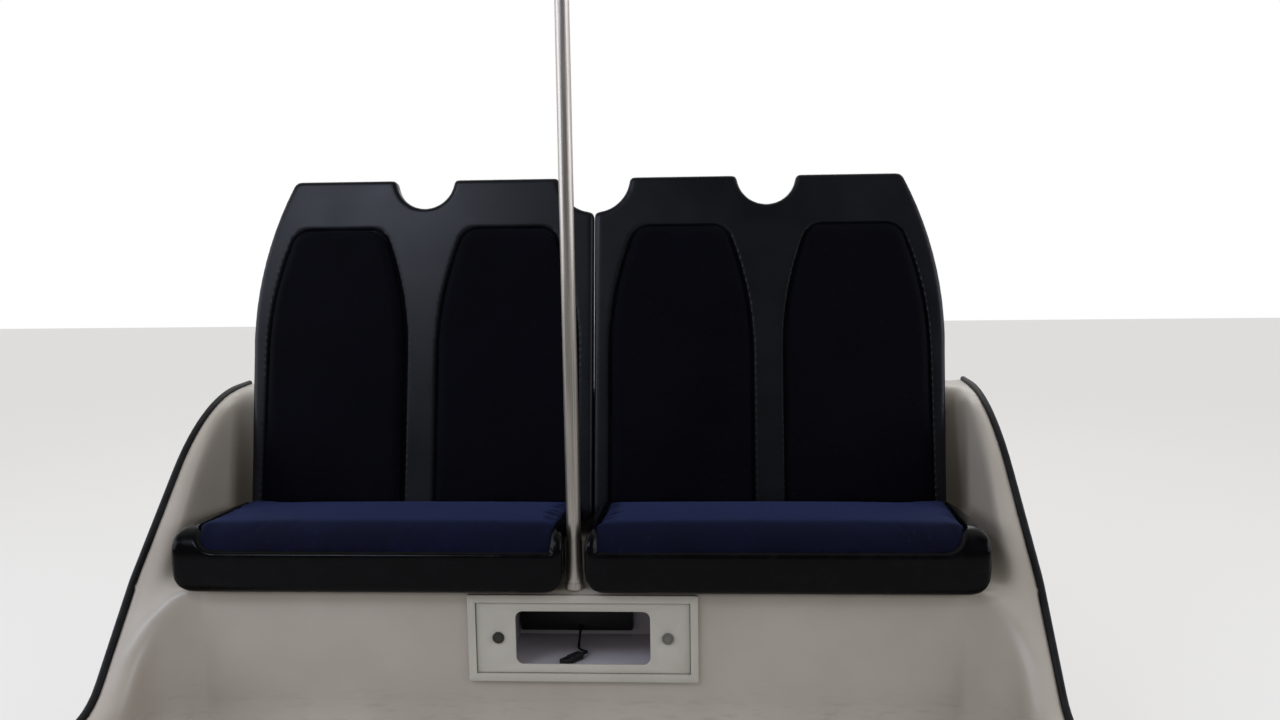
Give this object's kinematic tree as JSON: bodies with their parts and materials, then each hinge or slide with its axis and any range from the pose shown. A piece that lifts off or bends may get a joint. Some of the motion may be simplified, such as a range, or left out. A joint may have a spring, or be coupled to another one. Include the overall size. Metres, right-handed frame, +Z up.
{
  "type": "shuttle bench seat unit with console and grab pole",
  "caption": "End bench of a shuttle cabin: double seats with scooped backrests on a coved console with swept side wings, a service cover in front and a grab pole.",
  "frame": {"origin": "On the floor, midway between the two side wings and midway between the front ends of the wings and the back edge of the sill", "axes": "+Z up, +Y towards the backrests, +X to the right of someone who stands in front and looks at the bench"},
  "size_m": [1.9346, 0.93, 2],
  "materials": {
    "console_skin": "off-white gelcoat on moulded glass-reinforced plastic, soft sheen",
    "edge_rubber": "black extruded rubber edge",
    "bulkhead_board": "light grey laminated board, matt",
    "rail_alloy": "extruded, satin",
    "recess_grey": "grey plastic, matt",
    "cover_grey": "light grey powder coat",
    "lock_grey": "dark grey plastic quarter-turn locks",
    "box_black": "black plastic, matt",
    "lead_rubber": "black cable sheath, satin",
    "pan_black": "black moulded plastic, glossy",
    "seat_cloth": "dark navy flat-woven seat cloth",
    "shell_charcoal": "charcoal moulded plastic, low sheen",
    "pad_cloth": "very dark navy seat cloth over foam",
    "bracket_black": "black powder coat on folded steel",
    "pole_steel": "brushed stainless tube",
    "foot_grey": "light grey cast boot"
  },
  "bodies": {
    "bench": {"front_wall": "console_skin", "corner_left": "console_skin", "corner_right": "console_skin", "seat_deck": "console_skin", "back_wall": "console_skin", "wing_left": "console_skin", "wing_right": "console_skin", "seal_left": "edge_rubber", "seal_right": "edge_rubber", "bulkheads": "bulkhead_board", "floor_rails": "rail_alloy", "recess_box": "recess_grey", "hatch_frame": "cover_grey", "cable_box": "box_black", "lead": "lead_rubber", "lead_plug": "box_black", "pan_left": "pan_black", "pan_right": "pan_black", "cushion_left": "seat_cloth", "cushion_right": "seat_cloth", "back_shell_left": "shell_charcoal", "back_shell_right": "shell_charcoal", "back_pad_1": "pad_cloth", "back_pad_2": "pad_cloth", "back_pad_3": "pad_cloth", "back_pad_4": "pad_cloth", "deck_brackets": "bracket_black", "sill_brackets": "bracket_black", "grab_pole": "pole_steel", "pole_foot": "foot_grey", "pole_head": "pole_steel"},
    "cover": {"hatch_cover": "cover_grey", "hatch_locks": "lock_grey"}
  },
  "joints": [
    {"name": "cover_lift_off", "type": "slide", "parent": "bench", "child": "cover", "axis": [0, -1, 0], "range_m": [0, 0.2]}
  ]
}
